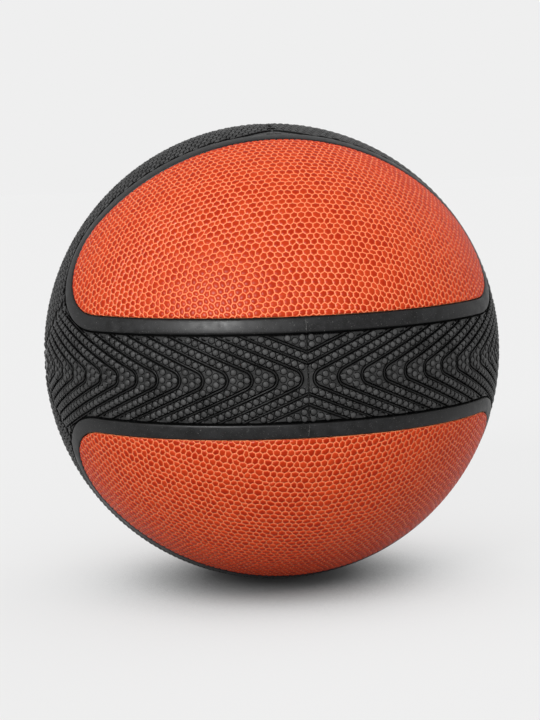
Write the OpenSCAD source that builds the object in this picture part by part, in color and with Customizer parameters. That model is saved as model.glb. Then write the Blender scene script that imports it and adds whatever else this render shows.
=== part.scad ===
// Basketball, size 7: four pebbled panels, each in a smooth border strip, set in a black
// moulded cover with chevron grip ribs, over a carcass, a thread winding and a bladder.
// Frame: the origin is the ball's centre, +Z is up, -Y is the front face, and X = 0 is the
// plane on which the two halves of the cover meet. The valve is at the +X pole.
// A latitude is measured from the plane Z = 0 and a longitude from -Y towards +X.

/* [Ball] */
// Outside diameter over the crests of the grip ribs
ball_d = 242; // [236:0.5:248]

/* [Wall] */
// Thickness of the butyl bladder
bladder_t = 0.6; // [0.4:0.1:1.2]
// Thickness of the thread winding over the bladder
winding_t = 0.35; // [0.2:0.05:0.8]
// Thickness of the rubber carcass over the winding
carcass_t = 0.8; // [0.5:0.1:1.6]
// Thickness of the moulded cover, from the carcass to the crests of its ribs
cover_t = 2.2; // [2.1:0.1:3.2]
// Thickness of the foam-faced cloth behind each panel
backing_t = 0.8; // [0.4:0.1:1]
// How far a panel's pebbled face lies below the rib crests
panel_drop = 0.25; // [0.05:0.05:0.5]
// How far a border strip's crown lies below the rib crests
border_drop = 0.1; // [0.05:0.05:0.5]

/* [Outline] */
// Width of the grip band between the upper and the lower borders
band_w = 43.5; // [34:0.5:52]
// Width of the belt between the front and the back borders, at the top and the bottom
belt_w = 70.5; // [60:0.5:80]
// Tilt of the plane of a panel's far edge from the upright plane through the valve
far_tilt = 18; // [14:0.5:22]
// Radius of a panel's two side corners, on the surface
corner_r = 32; // [22:0.5:38]
// Width of the smooth border strip
border_w = 7.6; // [5:0.1:10]
// Gap between a panel and its border strip
panel_gap = 0.35; // [0.2:0.05:0.8]
// Gap between a border strip and the grip cover
border_gap = 0.35; // [0.2:0.05:0.8]
// Width of the shoulder that falls away along each edge of a strip or panel
shoulder_w = 1; // [0.5:0.1:1.6]
// Drop of that shoulder
shoulder_drop = 0.4; // [0.2:0.05:0.6]

/* [Grip ribs] */
// Spacing of the chevrons along a band
chevron_pitch = 12.1; // [9:0.1:18]
// Angle between a chevron's arms and the band's centre line
chevron_slope = 24.5; // [20:0.5:32]
// Mean radius of a chevron's rounded point
point_r = 4.9; // [3:0.1:7]
// Distance from the parting plane to the first rounded point
first_point = 2.9; // [1:0.1:8]
// Least height of the plain triangle that the arms leave on the parting plane beside a border
seam_triangle = 5; // [4:0.5:7]
// Width of the channel between two ribs
channel_w = 1.5; // [0.8:0.1:2.4]
// Depth of that channel
channel_depth = 1; // [0.6:0.1:1.1]
// Width of the channel that runs beside each border strip
margin_w = 1.4; // [0.8:0.1:2.4]
// Depth of the channel beside a border strip
margin_depth = 1.3; // [1.2:0.1:1.7]
// Gap between the two halves of the cover at the parting plane
parting_gap = 0.2; // [0.1:0.05:0.4]

/* [Valve] */
// Diameter of the valve housing's neck
neck_d = 9; // [8:0.1:12]
// Diameter of the housing's flange inside the bladder
flange_d = 34; // [26:0.5:44]
// Thickness of that flange
flange_t = 1.6; // [1:0.1:2.4]
// Diameter of the housing's inner barrel
barrel_d = 13; // [12:0.1:18]
// Length of that barrel below the bladder
barrel_len = 11; // [9:0.5:16]
// Depth of the housing's face below the rib crests
face_drop = 0.8; // [0.4:0.1:1.6]
// Diameter of the self-closing plug
plug_d = 5.2; // [4.6:0.1:6]
// Diameter of the plug's holding collar
collar_d = 7.6; // [7:0.1:9]
// Height of that collar
collar_h = 3; // [2:0.1:4]
// Diameter of the hole that guides the inflating needle
needle_d = 2.5; // [2:0.1:3]
// Length of the straight part of that hole
needle_len = 7; // [5:0.1:9]
// Depth of the flared mouth of the needle hole
mouth_h = 0.9; // [0.5:0.1:1.4]
// Clearance round the plug and the neck
valve_fit = 0.05; // [0.02:0.01:0.1]
// Film of cement between the flange and the bladder
cement_gap = 0.1; // [0.05:0.05:0.3]

/* [Hidden] */
$fn = 96;

// Radii of the layers, from the outside in
crest_r = ball_d / 2;
cover_in_r = crest_r - cover_t;
carcass_in_r = cover_in_r - carcass_t;
winding_in_r = carcass_in_r - winding_t;
bladder_in_r = winding_in_r - bladder_t;
panel_in_r = cover_in_r + backing_t;
panel_out_r = crest_r - panel_drop;
border_out_r = crest_r - border_drop;

// What cuts go past a surface by, and the size of a block that covers half the ball
overrun = channel_w;
reach = ball_d;

// An arc length on the surface as an angle at the centre
function arc_angle(length) = length / crest_r * 180 / PI;
// The direction of a latitude and a longitude
function direction(lat, lon) = [sin(lon) * cos(lat), -cos(lon) * cos(lat), sin(lat)];
// The turn that carries +Z to a direction
function turn_to(d) = [0, acos(d.z / norm(d)), atan2(d.y, d.x)];

// A panel's outline: its long edge is a circle of latitude, its far edge lies on a tilted
// plane, and a circle rounds each corner between them
border_step = panel_gap + border_w + border_gap;
edge_lat = arc_angle(band_w / 2 + border_step);
far_angle = 90 - arc_angle(belt_w / 2 + border_step) + far_tilt;
corner_angle = arc_angle(corner_r);
far_axis = direction(-far_tilt, 0);
corner_lat = edge_lat + corner_angle;
corner_lon = acos(
    (cos(far_angle - corner_angle) + sin(corner_lat) * sin(far_tilt)) / (cos(corner_lat) * cos(far_tilt))
);
corner_axis = direction(corner_lat, corner_lon);

// Planes that round each corner
corner_steps = 7;
// The ways from the corner's centre to the long edge and to the far edge
to_long_edge = direction(corner_lat - 90, corner_lon);
to_far_edge = (corner_axis * cos(far_angle - corner_angle) - far_axis) / sin(far_angle - corner_angle);
corner_turn = acos(to_long_edge * to_far_edge);

// The outward normal of a plane that rounds a corner grown by an angle, at a share of its turn
function corner_normal(a, turn_share) = let (
    way = (to_long_edge * sin(corner_turn * (1 - turn_share)) + to_far_edge * sin(corner_turn * turn_share))
        / sin(corner_turn)
) way * cos(corner_angle + a) - corner_axis * sin(corner_angle + a);

// Chevrons: the sharp point lies behind the rounded one, and all are counted from it
point_back = point_r / sin(chevron_slope) - point_r;
first_sharp = arc_angle(first_point - point_back);
chevron_step = arc_angle(chevron_pitch);
// The first chevron whose arms, where they reach the parting plane, leave that triangle
// before an outline edge that lies at an angle from the chevrons' centre line
function first_chevron(edge) = ceil(
    (-asin(tan(edge - arc_angle(border_step + seam_triangle)) / tan(chevron_slope)) - first_sharp) / chevron_step
);
// The last chevron, and the room that it leaves round the pole
pole_room = arc_angle(point_r / tan(chevron_slope));
last_chevron = floor((90 - pole_room - first_sharp) / chevron_step) - 1;
// Steps of the polygon that rounds a chevron's point
point_steps = 6;

// Everything between two radii
module layer(inner_r, outer_r) {
    difference() {
        sphere(r = outer_r);
        sphere(r = inner_r);
    }
}

// The half of space on the side of a plane that its normal points to
module half_space(normal, offset = 0) {
    rotate(turn_to(normal))
        translate([-reach, -reach, offset])
            cube([2 * reach, 2 * reach, 2 * reach]);
}

// What lies outside a corner's rounding planes, on one side of the ball
module corner_excess(a) {
    for (i = [0:corner_steps - 1])
        half_space(corner_normal(a, (i + 1 / 2) / corner_steps));
}

// The space behind the upper front panel's outline, grown by a length on the surface
module outline(grow) {
    a = arc_angle(grow);
    low_z = bladder_in_r * sin(edge_lat - a) / 2;
    high_z = crest_r + overrun;
    difference() {
        translate([0, 0, low_z])
            cylinder(h = high_z - low_z, r1 = low_z / tan(edge_lat - a), r2 = high_z / tan(edge_lat - a));
        half_space(-far_axis, -crest_r * cos(far_angle + a));
        corner_excess(a);
        mirror([1, 0, 0]) corner_excess(a);
    }
}

// Copies its children to the place of one panel: upper or lower, front or back
module at_panel(lower, back) {
    mirror([0, 0, lower ? 1 : 0])
        mirror([0, back ? 1 : 0, 0])
            children();
}

module at_every_panel() {
    for (lower = [false, true], back = [false, true])
        at_panel(lower, back) children();
}

// A piece of a layer between two outlines. Its shoulders fall away along both edges.
module strip(inner_r, outer_r, from, to) {
    difference() {
        intersection() {
            layer(inner_r, outer_r - shoulder_drop);
            outline(to);
        }
        outline(from);
    }
    difference() {
        intersection() {
            layer(outer_r - shoulder_drop, outer_r);
            outline(to - shoulder_w);
        }
        outline(from + shoulder_w);
    }
}

// A piece of a layer inside an outline, with a shoulder that falls away at its edge
module patch(inner_r, outer_r) {
    intersection() {
        layer(inner_r, outer_r - shoulder_drop);
        outline(0);
    }
    intersection() {
        layer(outer_r - shoulder_drop, outer_r);
        outline(-shoulder_w);
    }
}

// The hole for the valve's neck
module neck_hole() {
    rotate([0, 90, 0])
        cylinder(h = reach, d = neck_d + 2 * valve_fit);
}

// How far an arm runs, as an angle from its sharp point at an angle from the parting plane.
// An arm ends behind the border, or where it meets the arms of the next band.
function arm_to_diagonal(at) =
    atan2(cos(at), cos(chevron_slope) * sin(at) + sin(chevron_slope));
function arm_to_band_edge() =
    asin(sin(edge_lat - arc_angle(border_step / 2)) / sin(chevron_slope));
function belt_arm_phase(at) = atan2(
    sin(far_tilt) * sin(at) * cos(chevron_slope) + cos(far_tilt) * sin(chevron_slope),
    -sin(far_tilt) * cos(at)
);
function belt_arm_swing(at) = norm([
    sin(far_tilt) * sin(at) * cos(chevron_slope) + cos(far_tilt) * sin(chevron_slope),
    sin(far_tilt) * cos(at)
]);
function arm_to_belt_edge(at) =
    belt_arm_phase(at) - acos(cos(far_angle + arc_angle(border_step / 2)) / belt_arm_swing(at));
function band_arm(at) =
    at + arm_to_band_edge() < corner_lon ? arm_to_band_edge() : arm_to_diagonal(at) + arc_angle(channel_w / 2);
function belt_arm(at) =
    at + arm_to_belt_edge(at) < corner_lon
        ? arm_to_belt_edge(at)
        : arm_to_diagonal(at) + arc_angle(channel_w / 2);

// One side of a chevron's channel, from one arm's end round the point to the other's
function chevron_side(length, side) = let (
    arm = [cos(chevron_slope), sin(chevron_slope)],
    out = [-sin(chevron_slope), cos(chevron_slope)],
    centre = point_r / sin(chevron_slope),
    turn = 180 - 2 * chevron_slope
) [
    arm * length + out * side,
    for (i = [0:point_steps])
        let (t = 90 + chevron_slope + turn * i / point_steps)
            [centre + (point_r + side) * cos(t), (point_r + side) * sin(t)],
    [arm.x, -arm.y] * length + [out.x, -out.y] * side
];

function reversed(list) = [for (i = [len(list) - 1:-1:0]) list[i]];

// The prism of one chevron's channel, pointing to the parting plane. at is the angle of its
// sharp point from that plane, and arm the angle that its arms run.
module chevron(at, arm) {
    length = crest_r * sin(arm);
    foot = crest_r * cos(arm) - overrun;
    rotate([0, 0, at])
        rotate([90, 0, 0])
            translate([0, 0, foot])
                linear_extrude(height = crest_r + overrun - foot)
                    polygon(concat(
                        chevron_side(length, channel_w / 2),
                        reversed(chevron_side(length, -channel_w / 2))
                    ));
}

// The chevrons of the band from the front to the +X pole
module band_chevrons() {
    for (i = [first_chevron(edge_lat):last_chevron])
        chevron(first_sharp + i * chevron_step, band_arm(first_sharp + i * chevron_step));
}

// The chevrons of the belt from the top to the +X pole, which mirror a band's
module belt_chevrons() {
    mirror([0, 1, 1])
        for (i = [first_chevron(90 - far_angle + far_tilt):last_chevron])
            chevron(first_sharp + i * chevron_step, belt_arm(first_sharp + i * chevron_step));
}

module grip_channels() {
    difference() {
        union() {
            band_chevrons();
            mirror([0, 1, 0]) band_chevrons();
            belt_chevrons();
            mirror([0, 0, 1]) belt_chevrons();
        }
        sphere(r = crest_r - channel_depth);
    }
}

// The half of the cover from the parting plane to the +X pole
module grip_cover() {
    difference() {
        layer(cover_in_r, crest_r);
        half_space([-1, 0, 0], -parting_gap / 2);
        at_every_panel() outline(border_step);
        difference() {
            at_every_panel() outline(border_step + margin_w);
            sphere(r = crest_r - margin_depth);
        }
        grip_channels();
    }
}

module bladder() {
    color("dimgray")
        difference() {
            layer(bladder_in_r, winding_in_r);
            neck_hole();
        }
}

module winding() {
    color("ivory")
        difference() {
            layer(winding_in_r, carcass_in_r);
            neck_hole();
        }
}

module carcass() {
    color("darkslategray")
        difference() {
            layer(carcass_in_r, cover_in_r);
            neck_hole();
        }
}

module grip_cover_right() {
    color("#2c2c2c")
        difference() {
            grip_cover();
            neck_hole();
        }
}

module grip_cover_left() {
    color("#2c2c2c")
        mirror([1, 0, 0]) grip_cover();
}

module backing(lower, back) {
    color("darkgoldenrod")
        at_panel(lower, back)
            intersection() {
                layer(cover_in_r, panel_in_r);
                outline(0);
            }
}

module panel(lower, back) {
    color("#d8502c")
        at_panel(lower, back)
            patch(panel_in_r, panel_out_r);
}

module border(lower, back) {
    color("#3a3b3c")
        at_panel(lower, back)
            strip(cover_in_r, border_out_r, panel_gap, panel_gap + border_w);
}

module backing_upper_front() { backing(false, false); }
module backing_lower_front() { backing(true, false); }
module backing_upper_back() { backing(false, true); }
module backing_lower_back() { backing(true, true); }
module panel_upper_front() { panel(false, false); }
module panel_lower_front() { panel(true, false); }
module panel_upper_back() { panel(false, true); }
module panel_lower_back() { panel(true, true); }
module border_upper_front() { border(false, false); }
module border_lower_front() { border(true, false); }
module border_upper_back() { border(false, true); }
module border_lower_back() { border(true, true); }

// The rubber valve body: a neck through the wall, a flange bonded inside the bladder and a
// barrel that hangs inside it, bored for the plug
flange_r = bladder_in_r - cement_gap;
barrel_low = flange_r - flange_t - barrel_len;
collar_low = barrel_low + flange_t;
collar_high = collar_low + collar_h;
face_r = crest_r - face_drop;

module valve_housing() {
    color("black")
        rotate([0, 90, 0])
            rotate_extrude()
                difference() {
                    union() {
                        translate([0, barrel_low])
                            square([barrel_d / 2, barrel_len + flange_t / 2]);
                        translate([0, flange_r - flange_t])
                            square([neck_d / 2, face_r - flange_r + flange_t]);
                        intersection() {
                            difference() {
                                circle(r = flange_r);
                                circle(r = flange_r - flange_t);
                            }
                            square([flange_d / 2, reach]);
                        }
                    }
                    square([plug_d / 2, reach]);
                    translate([0, collar_low])
                        square([collar_d / 2, collar_h]);
                }
}

// The self-closing plug, with a collar that holds it and a blind hole for the needle
module valve_plug() {
    low = collar_low + valve_fit;
    high = face_r - valve_fit;
    color("#444444")
        rotate([0, 90, 0])
            rotate_extrude()
                polygon([
                    [0, low],
                    [collar_d / 2 - valve_fit, low],
                    [collar_d / 2 - valve_fit, collar_high - valve_fit],
                    [plug_d / 2 - valve_fit, collar_high - valve_fit],
                    [plug_d / 2 - valve_fit, high],
                    [needle_d / 2 + mouth_h, high],
                    [needle_d / 2, high - mouth_h],
                    [needle_d / 2, high - mouth_h - needle_len],
                    [0, high - mouth_h - needle_len]
                ]);
}

bladder();
winding();
carcass();
valve_housing();
valve_plug();
grip_cover_left();
grip_cover_right();
backing_upper_front();
backing_lower_front();
backing_upper_back();
backing_lower_back();
panel_upper_front();
panel_lower_front();
panel_upper_back();
panel_lower_back();
border_upper_front();
border_lower_front();
border_upper_back();
border_lower_back();
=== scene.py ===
# %% [markdown]
# A basketball, dressed for its portrait
#
# The construction comes packed: layers, panels, borders, ribs and valve, each at its real
# size. This lesson gives it the looks: pebbles that can be counted, grip ribs with their
# domes, rubber that has a sheen. Every shape is a formula on the sphere, worked out as whole
# numpy arrays, because a ball is all curves and the same pattern comes back eight times.

import bpy
import numpy as np
from mathutils import Matrix, Vector


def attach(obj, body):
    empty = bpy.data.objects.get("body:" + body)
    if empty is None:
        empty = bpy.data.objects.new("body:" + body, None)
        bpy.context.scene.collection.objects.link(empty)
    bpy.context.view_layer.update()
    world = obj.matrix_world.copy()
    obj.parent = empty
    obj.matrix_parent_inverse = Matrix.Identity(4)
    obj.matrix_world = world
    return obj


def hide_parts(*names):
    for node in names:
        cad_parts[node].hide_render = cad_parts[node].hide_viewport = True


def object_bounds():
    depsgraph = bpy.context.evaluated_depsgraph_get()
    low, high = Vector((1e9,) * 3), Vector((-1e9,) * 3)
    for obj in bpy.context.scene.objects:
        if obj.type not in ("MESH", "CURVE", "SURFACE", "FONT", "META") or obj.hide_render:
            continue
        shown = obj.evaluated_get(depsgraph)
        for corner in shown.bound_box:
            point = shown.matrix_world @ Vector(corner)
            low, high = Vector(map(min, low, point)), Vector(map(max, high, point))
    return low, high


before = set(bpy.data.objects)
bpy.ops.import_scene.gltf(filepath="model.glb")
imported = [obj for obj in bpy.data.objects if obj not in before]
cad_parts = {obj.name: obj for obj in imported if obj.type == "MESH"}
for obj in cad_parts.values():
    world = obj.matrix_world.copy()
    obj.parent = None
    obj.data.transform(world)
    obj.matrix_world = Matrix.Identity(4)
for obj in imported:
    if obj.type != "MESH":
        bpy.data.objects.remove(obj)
cad_box = [list(corner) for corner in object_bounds()]
MM = 0.001
CREST = (cad_box[1][2] - cad_box[0][2]) / 2 / MM
print(f"{len(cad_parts)} nodes, crest radius {CREST:.2f} mm")

# %% [markdown]
# Sizes
#
# The sizes below are the construction's own, in millimetres, so the dress meets the frame
# without fitting. Only the margin between a border and the ribs' ends is finer here. Depths
# are measured down from the crest of the ribs, the largest sphere.

# %% Name the sizes
BAND_W = 43.5
BELT_W = 70.5
FAR_TILT = 18
CORNER_R = 32
PANEL_GAP = 0.35
BORDER_W = 7.6
BORDER_GAP = 0.35
MARGIN_W = 0.5
BORDER_STEP = PANEL_GAP + BORDER_W + BORDER_GAP
CHEVRON_PITCH = 12.1
CHEVRON_SLOPE = np.radians(24.5)
POINT_R = 4.9
FIRST_POINT = 2.9
NECK_R = 4.55
PANEL_UNDERSIDE = 1.4
COVER_UNDERSIDE = 2.15


def arc(length):
    """Angle in degrees of an arc of this length in mm on the crest sphere."""
    return np.degrees(length / CREST)


def direction(lat, lon):
    """Unit vector of a latitude and a longitude in degrees, longitude 0 at -Y and 90 at +X."""
    lat, lon = np.radians(lat), np.radians(lon)
    return np.stack([np.sin(lon) * np.cos(lat), -np.cos(lon) * np.cos(lat), np.sin(lat) + 0 * lon], -1)


def unit(vectors):
    """Vectors divided by their length."""
    return vectors / np.linalg.norm(vectors, axis=-1, keepdims=True)


def angle_from(points, axis):
    """Angle in degrees between unit vectors and an axis: the arc cosine of their dot product."""
    return np.degrees(np.arccos(np.clip(points @ axis, -1, 1)))


# %% [markdown]
# One outline for everything
#
# A panel, its border strip and the channel beside it are all the same outline, grown by a few
# millimetres. Each stretch of it is part of a small circle round some axis: the pole for the
# long edge, a tilted axis for the far edge, and a point inside the panel for each corner. So a
# distance from the outline is only an angle from the right axis, which keeps it exact.

# %% Work out the circles of the upper front panel's outline
EDGE_LAT = arc(BAND_W / 2 + BORDER_STEP)
FAR_ANGLE = 90 - arc(BELT_W / 2 + BORDER_STEP) + FAR_TILT
CORNER_ANGLE = arc(CORNER_R)
POLE = np.array([0.0, 0.0, 1.0])
VALVE_AXIS = np.array([1.0, 0.0, 0.0])
FAR_AXIS = direction(-FAR_TILT, 0)
CORNER_LAT = EDGE_LAT + CORNER_ANGLE


def corner_longitude():
    """Longitude at which a corner's centre lies its radius inside the long and the far edge."""
    tilt, lat = np.radians(FAR_TILT), np.radians(CORNER_LAT)
    inner = np.cos(np.radians(FAR_ANGLE - CORNER_ANGLE))
    return np.degrees(np.arccos((inner + np.sin(lat) * np.sin(tilt)) / (np.cos(lat) * np.cos(tilt))))


CORNER_LON = corner_longitude()
CORNER_AXIS = direction(CORNER_LAT, CORNER_LON)
TO_LONG_EDGE = direction(CORNER_LAT - 90, CORNER_LON)
TO_FAR_EDGE = unit(CORNER_AXIS * np.cos(np.radians(FAR_ANGLE - CORNER_ANGLE)) - FAR_AXIS)
FAR_START = unit(CORNER_AXIS - FAR_AXIS * (CORNER_AXIS @ FAR_AXIS))
CORNER_FRAME = np.linalg.inv(np.stack([CORNER_AXIS, TO_LONG_EDGE, TO_FAR_EDGE]))
FLIP_X = np.array([-1.0, 1.0, 1.0])


# %% Measure from the outline
def nearest_edge(points):
    """Axis of the edge circle nearest to each point, and the angle in degrees beyond it.

    A point between the two ways from a corner's centre belongs to the corner's circle, and any
    other to whichever of the long and the far edge it lies further beyond."""
    mirrored = np.abs(points[..., :1]) * [1, 0, 0] + points * [0, 1, 1]
    beyond_long = angle_from(mirrored, POLE) - (90 - EDGE_LAT)
    beyond_far = angle_from(mirrored, FAR_AXIS) - FAR_ANGLE
    beyond_corner = angle_from(mirrored, CORNER_AXIS) - CORNER_ANGLE
    share = mirrored @ CORNER_FRAME
    at_corner = (share[..., 1] > 0) & (share[..., 2] > 0)
    at_long = beyond_long > beyond_far
    beyond = np.where(at_corner, beyond_corner, np.where(at_long, beyond_long, beyond_far))
    corner = CORNER_AXIS * np.where(points[..., :1] < 0, FLIP_X, 1)
    other = np.where(at_long[..., None], POLE, FAR_AXIS)
    return np.where(at_corner[..., None], corner, other), beyond


def edge_distance(points):
    """Distance in mm outside the panel's outline, negative inside."""
    return nearest_edge(points)[1] / arc(1)


def pull_inside(points):
    """Points outside the outline, turned towards the axis of their edge until they lie on it."""
    axis, beyond = nearest_edge(points)
    whole = np.arccos(np.clip((points * axis).sum(-1), -1, 1))
    back = np.radians(np.maximum(beyond, 0))
    turned = points * np.sin(whole - back)[..., None] + axis * np.sin(back)[..., None]
    return unit(turned / np.sin(whole)[..., None])


# %% Walk round the outline
def way_arc(axis, radius, start, end, spacing):
    """Stations on a small circle: its axis, its radius, and ways turned evenly from start to end."""
    turn = np.arccos(start @ end)
    count = int(np.ceil(turn * np.sin(np.radians(radius)) * CREST / spacing))
    t = np.linspace(0, 1, count, endpoint=False)[:, None]
    ways = (start * np.sin(turn * (1 - t)) + end * np.sin(turn * t)) / np.sin(turn)
    return np.tile(axis, (count, 1)), np.full(count, radius), ways


def outline_stations(spacing):
    """Stations round the whole outline: long edge, corner, far edge and the other corner."""
    arcs = [
        way_arc(POLE, 90 - EDGE_LAT, direction(0, -CORNER_LON), direction(0, CORNER_LON), spacing),
        way_arc(CORNER_AXIS, CORNER_ANGLE, TO_LONG_EDGE, TO_FAR_EDGE, spacing),
        way_arc(FAR_AXIS, FAR_ANGLE, FAR_START, FAR_START * FLIP_X, spacing),
        way_arc(CORNER_AXIS * FLIP_X, CORNER_ANGLE, TO_FAR_EDGE * FLIP_X, TO_LONG_EDGE * FLIP_X, spacing),
    ]
    return [np.concatenate(column) for column in zip(*arcs)]


def outline(stations, grow):
    """Outline grown by mm: axis times the cosine plus way times the sine of the wider angle."""
    axis, radius, ways = stations
    wide = np.radians(radius[:, None] + arc(np.atleast_1d(grow))[None, :])[..., None]
    return axis[:, None] * np.cos(wide) + ways[:, None] * np.sin(wide)


measured = edge_distance(outline(outline_stations(2.5), [0.0, 5.0]))
print(f"{len(measured)} stations at {measured.min(0).round(3)} to {measured.max(0).round(3)} mm")

# %% [markdown]
# Turning arrays into pieces
#
# A shape is kept as points and faces until it is finished. Mirroring a shape turns it inside
# out, so its faces are turned round in the same step. One closed strip carried along a path
# serves for borders, ribs and beads alike.

# %% Close bodies from a profile and a path
def triangles(quads):
    """Each four-cornered face as two triangles."""
    return np.concatenate([quads[:, [0, 1, 2]], quads[:, [0, 2, 3]]])


def outward(points, faces):
    """The same closed shape with faces that point outwards: the sign of its volume tells."""
    a, b, c = points[faces[:, 0]], points[faces[:, 1]], points[faces[:, 2]]
    volume = (a * np.cross(b, c)).sum()
    return (points, faces if volume > 0 else faces[:, ::-1])


def loft(points):
    """Closed body of (stations, profile) points: the profile's loop carried along the path.

    Both ends are closed by a fan to the mean of their points."""
    rows, cols = points.shape[:2]
    index = np.arange(rows * cols).reshape(rows, cols)
    after = np.roll(index, -1, axis=1)
    sides = np.stack([index[:-1], after[:-1], after[1:], index[1:]], -1).reshape(-1, 4)
    first = np.stack([after[0], index[0], np.full(cols, rows * cols)], -1)
    last = np.stack([index[-1], after[-1], np.full(cols, rows * cols + 1)], -1)
    corners = np.concatenate([points.reshape(-1, 3), [points[0].mean(0), points[-1].mean(0)]])
    return outward(corners, np.concatenate([triangles(sides), first, last]))


def ring_loft(points):
    """Closed ring of (stations, profile) points, whose last station joins its first."""
    rows, cols = points.shape[:2]
    index = np.arange(rows * cols).reshape(rows, cols)
    along, across = np.roll(index, -1, axis=0), np.roll(index, -1, axis=1)
    both = np.roll(along, -1, axis=1)
    sides = np.stack([index, across, both, along], -1).reshape(-1, 4)
    return outward(points.reshape(-1, 3), triangles(sides))


# %% Flip, join and merge shapes
SAME_POINT = 1e-4


def flipped(shape, signs):
    """A shape mirrored by signs of its axes, with its faces turned round if that is needed."""
    points, faces = shape
    return points * signs, faces if np.prod(signs) > 0 else faces[:, ::-1]


def joined(shapes):
    """Many shapes as one list of points and one of faces."""
    starts = np.cumsum([0] + [len(points) for points, _ in shapes[:-1]])
    faces = [part + start for (_, part), start in zip(shapes, starts)]
    return np.concatenate([points for points, _ in shapes]), np.concatenate(faces)


def merged(points, faces):
    """Shape whose points that lie within a ten-thousandth of a millimetre are one point."""
    rounded = np.round(points / SAME_POINT)
    _, kept, index = np.unique(rounded, axis=0, return_index=True, return_inverse=True)
    faces = index.reshape(-1)[faces]
    distinct = (faces[:, 0] != faces[:, 1]) & (faces[:, 1] != faces[:, 2]) & (faces[:, 2] != faces[:, 0])
    return points[kept], faces[distinct], kept


# %% Make a piece of a shape
def make_piece(name, shape, material, replaced, crease=50, attributes=None):
    """Mesh object of a shape in mm, smooth but for edges over the crease angle."""
    points, faces, kept = merged(*shape)
    mesh = bpy.data.meshes.new(name)
    mesh.vertices.add(len(points))
    mesh.vertices.foreach_set("co", (points * MM).astype(np.float32).ravel())
    mesh.loops.add(faces.size)
    mesh.loops.foreach_set("vertex_index", faces.astype(np.int32).ravel())
    mesh.polygons.add(len(faces))
    mesh.polygons.foreach_set("loop_start", np.arange(0, faces.size, 3, dtype=np.int32))
    mesh.update(calc_edges=True)
    mesh.validate()
    for key, values in (attributes or {}).items():
        layer = mesh.attributes.new(key, "FLOAT", "POINT")
        layer.data.foreach_set("value", values[kept].astype(np.float32))
    mesh.shade_smooth()
    mesh.set_sharp_from_angle(angle=np.radians(crease))
    piece = bpy.data.objects.new(name, mesh)
    bpy.context.scene.collection.objects.link(piece)
    mesh.materials.append(material)
    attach(piece, "root")
    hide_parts(*replaced)
    print(f"{name}: {len(faces)} triangles")


# %% [markdown]
# Materials
#
# A small set of node helpers comes first. A node is added with its settings and its links in
# one call, and a colour is written as it looks, in sRGB, and turned linear once.

# %% Helpers for materials
MATH = "ShaderNodeMath"
MIX = "ShaderNodeMix"
NOISE = "ShaderNodeTexNoise"
RAMP = "ShaderNodeValToRGB"
BLACK, WHITE = "#000000", "#ffffff"


def linear(hex_colour):
    """Linear RGBA of an sRGB hex colour: each channel through the standard's two-part curve."""
    srgb = np.array([int(hex_colour[i:i + 2], 16) for i in (1, 3, 5)]) / 255
    low = srgb / 12.92
    high = ((srgb + 0.055) / 1.055) ** 2.4
    return (*np.where(srgb <= 0.04045, low, high), 1.0)


def add_node(tree, kind, settings=None, **inputs):
    """One node with its settings; an input is a value, or a socket to link from.

    An input goes by its name, or by its number as i0, i1 and so on. The stops of a colour ramp
    are a setting too, as (place, hex colour) pairs."""
    node = tree.nodes.new(kind)
    settings = dict(settings or {})
    stops = settings.pop("stops", [])
    for key, value in settings.items():
        setattr(node, key, value)
    if stops:
        elements = node.color_ramp.elements
        for _ in stops[2:]:
            elements.new(0.5)
        for element, (place, colour) in zip(elements, stops):
            element.position = place
            element.color = linear(colour)
    for key, value in inputs.items():
        socket = node.inputs[int(key[1:])] if key[0] == "i" and key[1:].isdigit() else node.inputs[key]
        if isinstance(value, bpy.types.NodeSocket):
            tree.links.new(value, socket)
        else:
            socket.default_value = value
    return node


def new_material(name):
    """New material: itself, its node tree and its Principled shader."""
    material = bpy.data.materials.new(name)
    material.use_nodes = True
    return material, material.node_tree, material.node_tree.nodes["Principled BSDF"]


# %% [markdown]
# Pebbled skin
#
# The panels are a moulded synthetic leather: polyurethane with pebbles pressed in, coloured
# right through. Its pebble tops have a soft satin sheen, while the valleys between them are
# lighter, where the skin is stretched thin. The mesh carries how deep a point lies in a valley
# and a random tone for each pebble, so the colours follow the real pebbles. The skin's own grain
# is too fine to show, so it is drawn at about 0.4 mm.

# %% Pebbled synthetic leather
CLOUD_MM = 1000 / 45
SKIN_GRAIN_MM = 1000 / 2600
CROWN_TONES = [(0.2, "#b82909"), (0.5, "#c63510"), (0.8, "#d6431b")]
SHOULDER_TONE = "#e9542a"
VALLEY_TONE = "#ffa070"


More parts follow.
